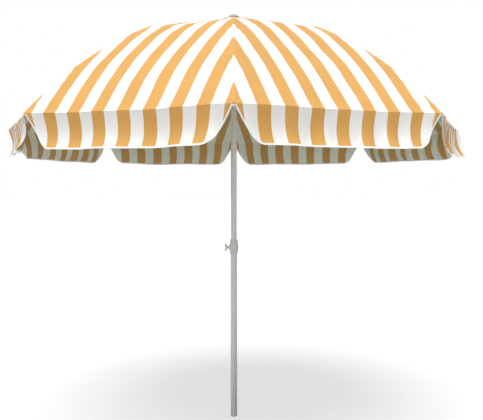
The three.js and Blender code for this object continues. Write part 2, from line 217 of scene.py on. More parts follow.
# ---------- Small waves ----------
def waves(count, longest, shortest, height):
    """A smooth random field over space: a list of (direction, phase, height)."""
    found = []
    for length in np.geomspace(longest, shortest, count):
        way = rng.normal(size=3)
        way *= 2 * math.pi / length / np.linalg.norm(way)
        found.append((way, rng.uniform(0, 2 * math.pi), height * (length / longest) ** 0.8))
    return found


def field(made, points):
    return sum(h * np.sin(points @ way + phase) for way, phase, h in made)


# Each with its number of waves, longest and shortest wave, and height
SLACK = waves(7, 0.55, 0.12, 0.0022)
PUCKER = waves(5, 0.060, 0.026, 0.0009)
HANG = waves(6, 0.42, 0.11, 0.0050)


def normalised(vectors):
    return vectors / np.linalg.norm(vectors, axis=-1, keepdims=True)


def turned(points, angle):
    """Points turned about the Z axis."""
    c, s = math.cos(angle), math.sin(angle)
    x, y, z = points[..., 0], points[..., 1], points[..., 2]
    return np.stack([c * x - s * y, s * x + c * y, z], -1)


def rib_angle(i):
    return FIRST_RIB + i * STEP


def panel_angle(i):
    return rib_angle(i) + HALF_STEP


# ---------- Meshes ----------
def new_piece(name, mesh, *materials):
    piece = bpy.data.objects.new(name, mesh)
    bpy.context.scene.collection.objects.link(piece)
    for material in materials:
        mesh.materials.append(material)
    return piece


def mesh_of(name, points, faces, crease=40):
    mesh = bpy.data.meshes.new(name)
    mesh.from_pydata([tuple(p) for p in points], [], [tuple(map(int, f)) for f in faces])
    mesh.validate()
    mesh.shade_smooth()
    mesh.set_sharp_from_angle(angle=math.radians(crease))
    return mesh


def grid_quads(rows, cols, first=0):
    index = np.arange(rows * cols).reshape(rows, cols) + first
    corners = [index[:-1, :-1], index[1:, :-1], index[1:, 1:], index[:-1, 1:]]
    return np.stack(corners, -1).reshape(-1, 4)


def border(rows, cols):
    """The border's point numbers, once round."""
    index = np.arange(rows * cols).reshape(rows, cols)
    return np.concatenate([index[:-1, 0], index[-1, :-1], index[:0:-1, -1], index[0, :0:-1]])


def lay_maps(mesh, maps, size, fronts):
    """Puts the grid's UV maps on a sheet's two faces, and the second material on its back."""
    number = np.zeros(len(mesh.loops), int)
    mesh.loops.foreach_get("vertex_index", number)
    for title, values in maps.items():
        layer = mesh.uv_layers.new(name=title)
        layer.data.foreach_set("uv", values.reshape(-1, 2)[number % size].ravel())
    slots = np.zeros(len(mesh.polygons), int)
    slots[fronts : 2 * fronts] = 1
    mesh.polygons.foreach_set("material_index", slots)


def sheet_piece(name, outer, inner, maps, materials):
    """A thin closed sheet from two grids of points, with UV maps given over the grid."""
    rows, cols = outer.shape[:2]
    size = rows * cols
    front = grid_quads(rows, cols)
    ring = border(rows, cols)
    after = np.roll(ring, -1)
    walls = np.stack([ring, ring + size, after + size, after], -1)
    a, b, c = (outer.reshape(-1, 3)[front[:, k]] for k in range(3))
    outwards = (outer - inner).reshape(-1, 3)[front[:, 0]]
    if (np.cross(b - a, c - a) * outwards).sum() < 0:
        front, walls = front[:, ::-1], walls[:, ::-1]
    faces = np.concatenate([front, front[:, ::-1] + size, walls])
    mesh = mesh_of(name, np.concatenate([outer.reshape(-1, 3), inner.reshape(-1, 3)]), faces)
    lay_maps(mesh, maps, size, len(front))
    return new_piece(name, mesh, *materials)


def turned_mesh(name, profile, sides=64, crease=32):
    """A closed body turned about Z from a profile of (radius, height), anticlockwise."""
    profile = np.array(profile, float)
    turns = np.linspace(0, 2 * math.pi, sides, endpoint=False)
    points, rings = [], []
    for radius, height in profile:
        if radius < 1e-7:
            rings.append([len(points)] * sides)
            points.append((0, 0, height))
        else:
            rings.append(list(range(len(points), len(points) + sides)))
            points += [(radius * math.cos(t), radius * math.sin(t), height) for t in turns]
    faces = []
    pairs = list(zip(rings, rings[1:]))
    if profile[0, 0] > 1e-7:
        pairs.append((rings[-1], rings[0]))
    for low, high in pairs:
        for k in range(sides):
            n = (k + 1) % sides
            face = [low[k], low[n], high[n], high[k]]
            faces.append(list(dict.fromkeys(face)))
    return mesh_of(name, points, [f for f in faces if len(f) > 2], crease)


def rounded(profile, radius, steps=4):
    """A profile with its corners rounded, apart from its first and last points."""
    profile = [np.array(p, float) for p in profile]
    made = [profile[0]]
    for before, corner, after in zip(profile, profile[1:], profile[2:]):
        reach = min(radius, *(0.45 * np.linalg.norm(p - corner) for p in (before, after)))
        a = corner + reach * normalised(before - corner)
        b = corner + reach * normalised(after - corner)
        for t in np.linspace(0, 1, steps + 1):
            made.append((1 - t) ** 2 * a + 2 * t * (1 - t) * corner + t * t * b)
    return made + [profile[-1]]


def swept(name, route, across, section):
    """A closed tube along a route. section gives (sideways, upwards) offsets at each point."""
    route = np.array(route, float)
    ways = normalised(np.gradient(route, axis=0))
    side = normalised(np.cross(ways, np.broadcast_to(across, route.shape)))
    up = np.cross(side, ways)
    count = len(section(0.0))
    points = []
    for k, share in enumerate(np.linspace(0, 1, len(route))):
        points += [route[k] + x * side[k] + y * up[k] for x, y in section(share)]
    faces = []
    for k in range(len(route) - 1):
        for m in range(count):
            n = (m + 1) % count
            faces.append([k * count + m, k * count + n, (k + 1) * count + n, (k + 1) * count + m])
    faces.append(list(range(count))[::-1])
    faces.append(list(range(len(points) - count, len(points))))
    return mesh_of(name, points, faces)


# ---------- Materials ----------
class Shader:
    """One material under construction. Its methods add nodes and return output sockets."""

    def __init__(self, name, **fixed):
        self.material = bpy.data.materials.new(name)
        self.material.use_nodes = True
        self.nodes = self.material.node_tree.nodes
        self.links = self.material.node_tree.links
        self.surface = self.nodes["Principled BSDF"]
        for socket, value in fixed.items():
            self.surface.inputs[socket.replace("_", " ")].default_value = value

    def put(self, socket, value):
        if isinstance(value, bpy.types.NodeSocket):
            self.links.new(value, socket)
        elif value is not None:
            socket.default_value = value

    def maths(self, operation, a, b=None):
        node = self.nodes.new("ShaderNodeMath")
        node.operation = operation
        for socket, value in zip(node.inputs, (a, b)):
            self.put(socket, value)
        return node.outputs[0]

    def uv(self, name):
        node = self.nodes.new("ShaderNodeUVMap")
        node.uv_map = name
        split = self.nodes.new("ShaderNodeSeparateXYZ")
        self.links.new(node.outputs[0], split.inputs[0])
        return node.outputs[0], split.outputs[0], split.outputs[1]

    def place(self):
        return self.nodes.new("ShaderNodeTexCoord").outputs["Object"]

    def stretched(self, vector, scale):
        node = self.nodes.new("ShaderNodeVectorMath")
        node.operation = "MULTIPLY"
        self.links.new(vector, node.inputs[0])
        node.inputs[1].default_value = scale
        return node.outputs[0]

    def noise(self, vector, scale, detail=3.0, roughness=0.5):
        node = self.nodes.new("ShaderNodeTexNoise")
        self.links.new(vector, node.inputs["Vector"])
        node.inputs["Scale"].default_value = scale
        node.inputs["Detail"].default_value = detail
        node.inputs["Roughness"].default_value = roughness
        return node.outputs["Fac"]

    def ranged(self, value, low, high, to_low, to_high):
        node = self.nodes.new("ShaderNodeMapRange")
        for socket, given in zip(node.inputs, (value, low, high, to_low, to_high)):
            self.put(socket, given)
        return node.outputs[0]

    def mixed(self, factor, a, b):
        node = self.nodes.new("ShaderNodeMix")
        node.data_type = "RGBA"
        self.put(node.inputs["Factor"], factor)
        self.put(node.inputs[6], a)
        self.put(node.inputs[7], b)
        return node.outputs[2]

    def scaled(self, colour, factor):
        node = self.nodes.new("ShaderNodeVectorMath")
        node.operation = "SCALE"
        self.put(node.inputs[0], colour)
        self.put(node.inputs["Scale"], factor)
        return node.outputs[0]

    def bump(self, height, distance, strength=1.0):
        node = self.nodes.new("ShaderNodeBump")
        self.put(node.inputs["Height"], height)
        node.inputs["Distance"].default_value = distance
        node.inputs["Strength"].default_value = strength
        self.links.new(node.outputs[0], self.surface.inputs["Normal"])

    def finish(self, **linked):
        for socket, value in linked.items():
            self.put(self.surface.inputs[socket.replace("_", " ")], value)
        return self.material


def grey(value):
    return (value, value, value, 1)


ORANGE = (0.705, 0.375, 0.100, 1)
WHITE = (0.880, 0.880, 0.850, 1)
# The back's colours, darker and duller than the face's, are the cloth's colour with painted shade
# of the underside in them.
ORANGE_BACK_SHADED = (0.600, 0.365, 0.125, 1)
WHITE_BACK_SHADED = (0.800, 0.860, 0.740, 1)
THREAD = (0.800, 0.640, 0.450, 1)
THREAD_PITCH = 0.0042
STITCH_FROM_EDGE = 0.0055
STITCH_HALF = 0.0005  # half a stitch's width
STITCH_SHARE = 0.7  # of the pitch that shows thread
WEAVE_PITCH = 0.0011
TAPE_RIB = 0.0012  # pitch of the rib across the tape


def weave(shader, u, v):
    """A plain weave's height, from threads that cross over and under."""
    turn = 2 * math.pi / WEAVE_PITCH
    warp = shader.maths("SINE", shader.maths("MULTIPLY", u, turn))
    weft = shader.maths("SINE", shader.maths("MULTIPLY", v, turn))
    return shader.maths("MULTIPLY", warp, weft)


def stitches(shader, from_edge, along):
    """1 on the thread of a row of stitches that runs beside an edge."""
    off = shader.maths("ABSOLUTE", shader.maths("SUBTRACT", from_edge, STITCH_FROM_EDGE))
    near = shader.maths("LESS_THAN", off, STITCH_HALF)
    step = shader.maths("FRACT", shader.maths("DIVIDE", along, THREAD_PITCH))
    return shader.maths("MULTIPLY", near, shader.maths("LESS_THAN", step, STITCH_SHARE))


def cloth_material(name, orange, white, roughness):
    """Woven stripes that run along the panel's middle line, with its stitching."""
    shader = Shader(name, Specular_IOR_Level=0.25, Sheen_Weight=0.12, Sheen_Roughness=0.5)
    place, u, v = shader.uv("cloth")
    _, from_edge, along = shader.uv("edge")
    band = shader.maths("ADD", shader.maths("DIVIDE", shader.maths("ABSOLUTE", u), STRIPE), 0.5)
    place_in_pair = shader.maths("FRACT", shader.maths("MULTIPLY", band, 0.5))
    dyed = shader.maths("LESS_THAN", place_in_pair, 0.5)
    colour = shader.mixed(dyed, white, orange)
    blotch = shader.ranged(shader.noise(place, 5.0, 4.0), 0.3, 0.7, 0.94, 1.03)
    threads = shader.noise(shader.stretched(place, (900, 45, 1)), 1.0, 2.0)
    slub = shader.ranged(threads, 0.3, 0.7, 0.965, 1.03)
    colour = shader.scaled(colour, shader.maths("MULTIPLY", blotch, slub))
    thread = stitches(shader, from_edge, along)
    colour = shader.mixed(shader.maths("MULTIPLY", thread, 0.45), colour, THREAD)
    raised = shader.maths("MULTIPLY", thread, 3.0)
    height = shader.maths("ADD", weave(shader, u, v), raised)
    shader.bump(height, 0.00012, 0.6)
    rough = shader.ranged(shader.noise(place, 40.0), 0.3, 0.7, roughness - 0.05, roughness + 0.05)
    return shader.finish(Base_Color=colour, Roughness=rough)


def tape_material():
    """White binding tape with a fine rib across it."""
    shader = Shader("white_binding", Specular_IOR_Level=0.25, Sheen_Weight=0.1)
    place, _, v = shader.uv("cloth")
    rib = shader.maths("SINE", shader.maths("MULTIPLY", v, 2 * math.pi / TAPE_RIB))
    tone = shader.ranged(shader.noise(place, 30.0), 0.3, 0.7, 0.0, 1.0)
    colour = shader.mixed(tone, (0.83, 0.84, 0.83, 1), (0.90, 0.90, 0.89, 1))
    shader.bump(rib, 0.00015, 0.5)
    rough = shader.ranged(tone, 0, 1, 0.78, 0.9)
    return shader.finish(Base_Color=colour, Roughness=rough)


def paint_material():
    """Pale grey powder coat, with faint rubbed streaks along the pole."""
    shader = Shader("pole_paint", Specular_IOR_Level=0.5, Coat_Weight=0.15, Coat_Roughness=0.3)
    place = shader.place()
    rubbed = shader.noise(shader.stretched(place, (260, 260, 9)), 1.0, 4.0)
    cloud = shader.noise(place, 14.0, 3.0)
    tone = shader.ranged(shader.maths("MULTIPLY", rubbed, cloud), 0.15, 0.4, 0.0, 1.0)
    colour = shader.mixed(tone, (0.76, 0.76, 0.755, 1), (0.84, 0.84, 0.835, 1))
    shader.bump(shader.noise(place, 900.0, 2.0), 0.00008, 0.5)
    rough = shader.ranged(rubbed, 0.3, 0.7, 0.34, 0.52)
    return shader.finish(Base_Color=colour, Roughness=rough)


def plastic_material(name, dark, pale, roughness):
    """Moulded plastic with a fine spark-eroded grain."""
    shader = Shader(name, Specular_IOR_Level=0.45)
    place = shader.place()
    tone = shader.ranged(shader.noise(place, 45.0, 3.0), 0.3, 0.7, 0.0, 1.0)
    colour = shader.mixed(tone, dark, pale)
    shader.bump(shader.noise(place, 1600.0, 2.0), 0.00006, 0.6)
    rough = shader.ranged(shader.noise(place, 120.0), 0.3, 0.7, roughness - 0.06, roughness + 0.06)
    return shader.finish(Base_Color=colour, Roughness=rough)


def steel_material():
    """Zinc-plated steel, faintly drawn and spotted."""
    shader = Shader("plated_steel", Metallic=1.0)
    place = shader.place()
    spots = shader.noise(place, 70.0, 5.0, 0.65)
    fine = shader.noise(place, 700.0, 2.0)
    tone = shader.ranged(spots, 0.3, 0.7, 0.0, 1.0)
    colour = shader.mixed(tone, (0.52, 0.53, 0.54, 1), (0.68, 0.69, 0.70, 1))
    shader.bump(fine, 0.00005, 0.5)
    rough = shader.ranged(spots, 0.3, 0.7, 0.28, 0.46)
    return shader.finish(Base_Color=colour, Roughness=rough)


CLOTH_FACE = cloth_material("striped_cloth", ORANGE, WHITE, 0.82)
# The back copy of the cloth carries painted shade of the underside.
CLOTH_BACK_SHADED = cloth_material("striped_cloth_back_shaded", ORANGE_BACK_SHADED, WHITE_BACK_SHADED, 0.88)
TAPE = tape_material()
PAINT = paint_material()
PLASTIC = plastic_material("grey_plastic", (0.72, 0.72, 0.71, 1), (0.78, 0.78, 0.77, 1), 0.5)
CREAM = plastic_material("cream_plastic", (0.80, 0.77, 0.70, 1), (0.86, 0.83, 0.76, 1), 0.45)
# The crown cap's grey is darker than the grey plastic's: painted shade, which keeps its lit top
# from burning out.
CAP_PLASTIC_SHADED = plastic_material("cap_plastic_shaded", (0.34, 0.34, 0.345, 1), (0.40, 0.40, 0.405, 1), 0.5)
STEEL = steel_material()


# ---------- Canopy ----------
def smooth(x):
    x = np.clip(x, 0, 1)
    return x * x * (3 - 2 * x)


NARROW = 0.09  # a half panel narrower than this has its fine steps squeezed
SPREAD = 1.35  # how fast the grid's steps grow away from a seam or the rim


def widening(size, fine, more):
    """Distances from a seam: the fine ones, then ever wider steps up to the panel's middle line."""
    full = np.minimum(size / NARROW, 1)
    near = np.array(fine)[:, None] * full
    rest = near[-1] + (size - near[-1]) * np.linspace(0, 1, more + 1)[1:, None] ** SPREAD
    return np.concatenate([near, rest]).T


SEAM_STEPS = [0, 0.003, 0.006, 0.009, 0.0105, 0.012, 0.0145, 0.019, 0.026, 0.036]
RIM_STEPS = np.array(SEAM_STEPS[7::-1])
FELL = 0.0095  # a felled seam or hem is raised this far from its line
FELL_EDGE = 0.0025  # over which it falls back to the cloth
HEM_START = 0.012  # from the seam to where the hem is full
SEAM_ROUND = 0.008  # the cloth's direction turns into its neighbour's this near a seam
SLACK_FULL = 0.35  # radii where the waves reach their full height
PUCKER_FULL = 0.2
PUCKER_PEAK = 0.014  # from the seam
FAN_HEIGHT = 0.0024  # of the folds at a rib tip
FAN_FOLDS = 9
# Flaps whose cloth bunches: towards which end, and how far that end swings out
RUFFLED = {1: (1, 0.065), 2: (-1, 0.058), 5: (1, -0.050), 6: (-1, -0.045)}


def panel_surface(k, at, u):
    """The cloth's outer face and its outward direction, for panel k, in the object's frame."""
    radius, height, fall = on_line(at)
    half = radius * math.sin(HALF_STEP)
    share = np.clip(np.abs(u) / half, 0, 1)
    from_seam = half - np.abs(u)
    base = np.stack([radius * math.cos(HALF_STEP), u, height], -1)
    flat_way = normalised(np.stack([fall / math.cos(HALF_STEP), 0 * u, 1 + 0 * u], -1))
    lean = fall[..., None] * [math.cos(HALF_STEP), 0, 0] + [0, 0, 1]
    lean[..., 1] = fall * math.sin(HALF_STEP) * np.sign(u)
    close = np.exp(-((from_seam / SEAM_ROUND) ** 2))[..., None]
    way = normalised(flat_way * (1 - close) + normalised(lean) * close)
    world = turned(base, panel_angle(k))
    open_span = 1 - share**2
    size = radius / LINE[-1, 0]
    offset = -SAG * open_span * size**1.5
    slack_share = np.minimum(radius / SLACK_FULL, 1)
    offset += field(SLACK, world) * np.sqrt(open_span + 1e-9) * slack_share
    ramp = from_seam / PUCKER_PEAK * np.exp(1 - from_seam / PUCKER_PEAK)
    offset += field(PUCKER, world) * ramp * np.minimum(radius / PUCKER_FULL, 1)
    offset += FOLD_RISE * (1 - smooth((from_seam - FELL) / FELL_EDGE))
    to_rim = LENGTH - at
    rim_fold = 1 - smooth((to_rim - FELL) / FELL_EDGE)
    offset += FOLD_RISE * rim_fold * smooth(from_seam / HEM_START)
    offset += tip_folds(k, to_rim, from_seam)
    outward = turned(way, panel_angle(k))
    return world + outward * offset[..., None], outward


def tip_folds(k, to_rim, from_seam):
    """Small folds that fan out from the rib tips, where the cloth is tied down."""
    reach = np.hypot(to_rim, from_seam)
    fan = np.sin(FAN_FOLDS * np.arctan2(from_seam, to_rim + 0.01) + k)
    fading = np.exp(-reach / 0.10) * smooth(reach / 0.05) * smooth(from_seam / 0.03)
    return FAN_HEIGHT * fan * fading


def cloth_maps(u, v, from_edge, along):
    return {"cloth": np.stack([u, v], -1), "edge": np.stack([from_edge, along], -1)}


def canopy_part(k, side, start, end, evenly, clustered):
    """Half a panel's grid between two lengths along the rib. side is -1 or 1."""
    near_end = end - RIM_STEPS
    rows = np.linspace(start, end, evenly)
    if clustered:
        steps = 1 - (1 - np.linspace(0, 1, evenly)[:-1]) ** SPREAD
        rows = np.concatenate([start + (near_end[0] - start) * steps, near_end])
    half = np.interp(rows, LINE_AT, LINE[:, 0]) * math.sin(HALF_STEP)
    from_seam = widening(half, SEAM_STEPS, 25)
    u = side * (half[:, None] - from_seam)
    at = np.broadcast_to(rows[:, None], u.shape)
    outer, way = panel_surface(k, at, u)
    v = np.interp(at, LINE_AT, FLAT_AT)
    maps = cloth_maps(u, v, from_seam * 0.95, at)
    return outer, outer - way * CLOTH, maps


def rib_frame(i):
    """The rib's outward, sideways and upward directions."""
    return turned(np.eye(3), rib_angle(i))


FOLD_TURN = math.radians(JOINTS["rib_fold_1"]["range_deg"][1])
FLEX_TURN = math.radians(JOINTS["rib_flex_1"]["range_deg"][0])
OUTER_SLOPE = slope_of(KNUCKLE, TIP)
INNER_SLOPE = slope_of(CROWN, KNUCKLE)


def cloth_axis(i, side, slope):
    """The direction in the panel's plane, square to the rib, in the object's frame."""
    down = np.array([math.cos(slope), 0, -math.sin(slope)])
    rim = np.array([-math.sin(HALF_STEP), side * math.cos(HALF_STEP), 0])
    across = normalised(rim - (rim @ down) * down)
    upright = np.cross(down, across)
    upright *= np.sign(upright[2])
    tilted = across * math.cos(PLEAT_TILT) - upright * math.sin(PLEAT_TILT)
    return turned(tilted, rib_angle(i))


def half_panels():
    """Each rib with the half panel at either side of it: rib, side, panel, and name's middle."""
    for i in range(RIBS):
        yield i, -1, i, f"{i + 1}a"
        before = (i - 1) % RIBS
        yield i, 1, before, f"{before + 1}b"


def build_canopy():
    for i, side, k, half in half_panels():
        stop = at_radius(COLLAR)
        for part, radius, rows, keep in RINGS:
            at_rim = part == "outer"
            start = stop
            stop = LENGTH if at_rim else at_radius(radius)
            slope, anchor = (OUTER_SLOPE, TIP) if at_rim else (INNER_SLOPE, CROWN)
            body = f"rib_outer_{i + 1}" if at_rim else f"rib_inner_{i + 1}"
            outer, inner, maps = canopy_part(k, side, start, stop, rows, at_rim)
            name = f"canopy_{half}_{part}"
            piece = sheet_piece(name, outer, inner, maps, (CLOTH_FACE, CLOTH_BACK_SHADED))
            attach(piece, body)
            tuple(cloth_axis(i, -side, slope))
            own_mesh(piece)
            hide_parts(f"canopy_panel_{k + 1}")


def build_collar():
    """The cloth round the crown, from the cap's cloth out to the rings over the ribs."""
    start, bent, stop = (at_radius(r) for r in (CROWN_CLOTH, COLLAR_BENT, COLLAR))
    for i, side, k, half in half_panels():
        outer, inner, maps = canopy_part(k, side, start, stop, COLLAR_ROWS, False)
        name = f"canopy_{half}_collar"
        piece = sheet_piece(name, outer, inner, maps, (CLOTH_FACE, CLOTH_BACK_SHADED))
        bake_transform(piece)
        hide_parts(f"canopy_panel_{k + 1}")


def build_crown_cloth():
    """The still cloth under the crown cap, out to the collar, as one closed ring."""
    rows = np.linspace(CROWN_EDGE, at_radius(CROWN_CLOTH), 9)
    columns = np.linspace(-1, 1, 13)[:-1]
    outer, inner, us = [], [], []
    for k in range(RIBS):
        half = np.interp(rows, LINE_AT, LINE[:, 0]) * math.sin(HALF_STEP)
        u = half[:, None] * columns
        at = np.broadcast_to(rows[:, None], u.shape)
        face, way = panel_surface(k, at, u)
        outer.append(face)
        inner.append(face - way * CLOTH)
        us.append(np.abs(u))
    outer, inner, u = (np.concatenate(x, 1) for x in (outer, inner, us))
    count, around = u.shape
    index = np.arange(count * around).reshape(count, around)
    after = np.roll(index, -1, axis=1)
    front = np.stack([index[:-1], index[1:], after[1:], after[:-1]], -1).reshape(-1, 4)
    size = count * around
    inside = np.stack([index[0], after[0], after[0] + size, index[0] + size], -1)
    outside = np.stack([index[-1], index[-1] + size, after[-1] + size, after[-1]], -1)
    faces = np.concatenate([front, front[:, ::-1] + size, inside, outside])
    points = np.concatenate([outer.reshape(-1, 3), inner.reshape(-1, 3)])
    mesh = mesh_of("canopy_crown", points, faces)
    at = np.broadcast_to(rows[:, None], u.shape)
    lay_maps(mesh, cloth_maps(u, at, 0 * u + 1, at), size, len(front))
    piece = new_piece("canopy_crown", mesh, CLOTH_FACE, CLOTH_BACK_SHADED)
    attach(piece, "upper_pole")
    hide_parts(*(f"canopy_panel_{k + 1}" for k in range(RIBS)))


# ---------- Valance ----------
FLAP_IN, FLAP_OUT = -0.24, 0.32  # the flap's curve: in below the rim, then out to the hem
TIP_FLARE = 0.020  # how far a flap's ends stand out at the hem
TIP_FLARE_REACH = 0.09
RUFFLE_REACH = 0.16  # along the rim
GATHER = 0.013  # height of a ruffled flap's gathers
GATHER_START = 0.035  # they reach full height this far from the tip
GATHER_TURN, GATHER_SLOWER = 165, 35  # radians per metre at the rim, and how much less at the hem
FLAP_COLUMNS = (80, 1.2)  # columns of the grid, and how fast they widen
RUFFLED_COLUMNS = (116, 1.5)
TAPE_SHAPE = np.array([0.25, 1, 1, 1, 0.7])  # the tape's height across its width
# For each flap, waves of (turn per metre, phase, height)
FLAP_WAVES = [
    [(rng.uniform(20, 75), rng.uniform(0, 6.28), rng.uniform(0.0012, 0.0040)) for _ in range(5)]
    for _ in range(RIBS)
]


def flap_side(depth):
    """How far the flap's side edge is from the rib tip, at a depth below the rim."""
    taper = FLAP_START + (FLAP_TAPER - FLAP_START) * depth / DROP
    low = np.clip(depth - (DROP - FLAP_CORNER), 0, FLAP_CORNER)
    return taper + FLAP_CORNER - np.sqrt(FLAP_CORNER**2 - low**2 * 0.9999)


def flap_surface(k, u, depth):
    """The flap's outer face and its outward direction."""
    rim, _ = panel_surface(k, np.full(u.shape, LENGTH), u)
    x = depth / DROP
    from_tip = RIM_HALF - np.abs(u)
    out = DROP * (FLAP_IN * x + FLAP_OUT * x**3)
    out += sum(h * x**1.3 * np.sin(w * u + p) for w, p, h in FLAP_WAVES[k])
    out += field(HANG, rim) * x
    out += TIP_FLARE * x * np.exp(-from_tip / TIP_FLARE_REACH)
    if k in RUFFLED:
        end, swing = RUFFLED[k]
        gone = RIM_HALF - u * end
        near = np.exp(-gone / RUFFLE_REACH)
        height = GATHER * (1 - np.exp(-x / 0.12)) * (1 - 0.4 * x)
        gather = height * np.sin(gone * (GATHER_TURN - GATHER_SLOWER * x) + k)
        out += near * (swing * x + gather * smooth(gone / GATHER_START))
    outward = turned(np.array([1.0, 0, 0]), panel_angle(k))
    hang = rim + outward * out[..., None]
    hang[..., 2] -= depth + FLAP_GAP
    return hang, outward


def squared(points):
    """Outward unit directions of a grid's surface."""
    return normalised(np.cross(np.gradient(points, axis=0), np.gradient(points, axis=1)))


def outward_sheet(points, outward):
    way = squared(points)
    return way * np.sign((way * outward).sum(-1))[..., None]


def flap_maps(u, depth, from_edge, along):
    lean = 0.040 * depth / DROP * np.exp(-(RIM_HALF - np.abs(u)) / 0.14)
    return cloth_maps(np.sign(u) * (np.abs(u) + lean), FLAT_AT[-1] + depth, from_edge, along)


def flap_part(k, side):
    """Half a flap's grid, from its side edge to the panel's middle line."""
    depth = DROP * (1 - np.cos(np.linspace(0, math.pi, FLAP_ROWS))) / 2
    edge = flap_side(depth)
    ruffled = RUFFLED.get(k, (0,))[0] == side
    columns, power = RUFFLED_COLUMNS if ruffled else FLAP_COLUMNS
    from_tip = edge[:, None] + (RIM_HALF - edge)[:, None] * np.linspace(0, 1, columns) ** power
    u = side * (RIM_HALF - from_tip)
    deep = np.broadcast_to(depth[:, None], u.shape)
    outer, outward = flap_surface(k, u, deep)
    inner = outer - outward_sheet(outer, outward) * CLOTH
    return outer, inner, flap_maps(u, deep, deep, u)


def tape_part(k, side):
    """The binding along half a flap's edge: down its side, round the corner and along the hem."""
    down = DROP * np.sin(np.linspace(0.02, math.pi / 2, 60))
    edge = np.stack([flap_side(down), down], -1)
    hem = np.linspace(edge[-1, 0], RIM_HALF, 50)[1:]
    line = np.concatenate([edge, np.stack([hem, 0 * hem + DROP], -1)])
    way = normalised(np.gradient(line, axis=0))
    square = np.stack([way[:, 1], -way[:, 0]], -1)
    gone = np.concatenate([[0], np.cumsum(np.linalg.norm(np.diff(line, axis=0), axis=1))])
    offsets = np.linspace(-TAPE_OVERHANG, BINDING - TAPE_OVERHANG, len(TAPE_SHAPE))
    spread = line[:, None] + square[:, None] * offsets[:, None]
    depth = np.clip(spread[..., 1], 0.0005, None)
    u = side * (RIM_HALF - np.minimum(spread[..., 0], RIM_HALF))
    face, outward = flap_surface(k, u, depth)
    way = outward_sheet(face, outward)
    rise = TAPE_SHAPE[:, None] * TAPE_RISE
    outer = face + way * rise
    inner = face - way * (CLOTH + rise)
    along = np.broadcast_to(gone[:, None], u.shape)
    across = np.broadcast_to(offsets + TAPE_OVERHANG, u.shape)
    return outer, inner, cloth_maps(across, along, across, along)


def flap_axis(i, side):
    """The squash direction that takes a flap's rim to the folded cloth's rim, and its keep."""
    rim = np.array([-math.sin(HALF_STEP), side * math.cos(HALF_STEP), 0])
    across = turned(cloth_axis(i, side, OUTER_SLOPE), -rib_angle(i))
    moved = rim - across * (rim @ across) * (1 - CLOTH_KEEP)
    turn = FOLD_TURN + FLEX_TURN
    c, s = math.cos(turn), math.sin(turn)
    folded = np.array([c * moved[0] + s * moved[2], moved[1], c * moved[2] - s * moved[0]])
    change = rim - folded
    axis = normalised(change)
    keep = 1 - np.linalg.norm(change) / (rim @ axis)
    return turned(axis, rib_angle(i)), float(np.clip(keep, 0.015, 1))


def build_valance():
    for i, side, k, half in half_panels():
        axis, keep = flap_axis(i, -side)
        outer, inner, maps = flap_part(k, side)
        flap = sheet_piece(f"valance_{half}", outer, inner, maps, (CLOTH_FACE, CLOTH_BACK_SHADED))
        tape = sheet_piece(f"binding_{half}", *tape_part(k, side), (TAPE, TAPE))
        for piece in (flap, tape):
            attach(piece, f"valance_flap_{i + 1}")
            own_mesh(piece)
            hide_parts(f"valance_flap_{k + 1}")


# ---------- Ribs, rods and tips ----------
def in_space(points, i):
    """Points given in a rib's plane, (distance from the axis, sideways, height), in space."""
    return turned(np.array(points, float), rib_angle(i))


def rod_section(share, eyes, flat_share):
    """A round section that is pressed flat near an eye."""
    near = min(abs(share - e) for e in eyes)
    flat = 1 - float(smooth(near / flat_share))
    wide, high = ROD * (1 - 0.24 * flat), ROD * (1 + 0.60 * flat)
    end = min(share, 1 - share)
    shrink = math.sqrt(max(0.02, 1 - (1 - min(end / 0.006, 1)) ** 2)) if flat > 0 else 1
    turns = np.linspace(0, 2 * math.pi, 16, endpoint=False)
    return [(wide * math.cos(t), high * shrink * math.sin(t)) for t in turns]


def lengthened(points, first, last):
    """A line made longer at its two ends, straight on."""
    made = [points]
    if first:
        made.insert(0, [points[0] - normalised(points[1] - points[0]) * first])
    if last:
        made.append([points[-1] + normalised(points[-1] - points[-2]) * last])
    return np.concatenate(made)


def flat_route(points, i):
    points = np.array(points)
    return in_space(np.stack([points[:, 0], 0 * points[:, 0], points[:, 1]], -1), i)


def rivet(name, place, i, length, radius):
    """A short rivet across a rib's plane, with two low heads."""
    end = -length / 2
    head, shank = radius * 1.25, radius * 0.6
    lower = [
        (0, end), (radius, end), (head, end + 0.0006), (head, end + 0.001), (shank, end + 0.0012)
    ]
    profile = lower + [(r, -height) for r, height in reversed(lower)]
    mesh = turned_mesh(name, profile, 20)
    out, sideways, up = rib_frame(i)
    turn = Matrix((out, -up, sideways)).transposed().to_4x4()
    turn.translation = Vector(in_space([place[0], 0, place[1]], i))
    mesh.transform(turn)
    return new_piece(name, mesh, STEEL)


def build_rods():
    for i in range(RIBS):
        number = i + 1
        across = in_space([0, 1, 0], i)
        arc = lengthened(resampled(rod_arc(0, 60), 90), EYE_REACH, 0)
        route = flat_route(arc, i)
        mesh = swept(
            f"rib_rod_{number}", route, across, lambda s: rod_section(s, (0,), 0.03)
        )
        rod = new_piece(f"rib_rod_{number}", mesh, STEEL)
        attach(rod, f"rib_outer_{number}")
        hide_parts(f"rib_outer_{number}")
        pin = rivet(f"knuckle_rivet_{number}", KNUCKLE, i, *RIB_RIVET)
        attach(pin, f"rib_outer_{number}")
        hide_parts(f"rib_outer_{number}")

        straight = RUNNER + (RIVET - RUNNER) * np.linspace(0, 1, 50)[:, None]
        route = flat_route(lengthened(straight, EYE_REACH, EYE_REACH), i)
        mesh = swept(
            f"stretcher_rod_{number}", route, across, lambda s: rod_section(s, (0, 1), 0.04)
        )
        stay = new_piece(f"stretcher_rod_{number}", mesh, STEEL)
        pins = [
            rivet(f"stretcher_rivet_{number}", RIVET, i, *RIB_RIVET),
            rivet(f"runner_pin_{number}", RUNNER, i, *RUNNER_PIN),
        ]
        for piece in (stay, *pins):
            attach(piece, f"stretcher_{number}")
            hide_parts(f"stretcher_{number}")

        build_tip(i)


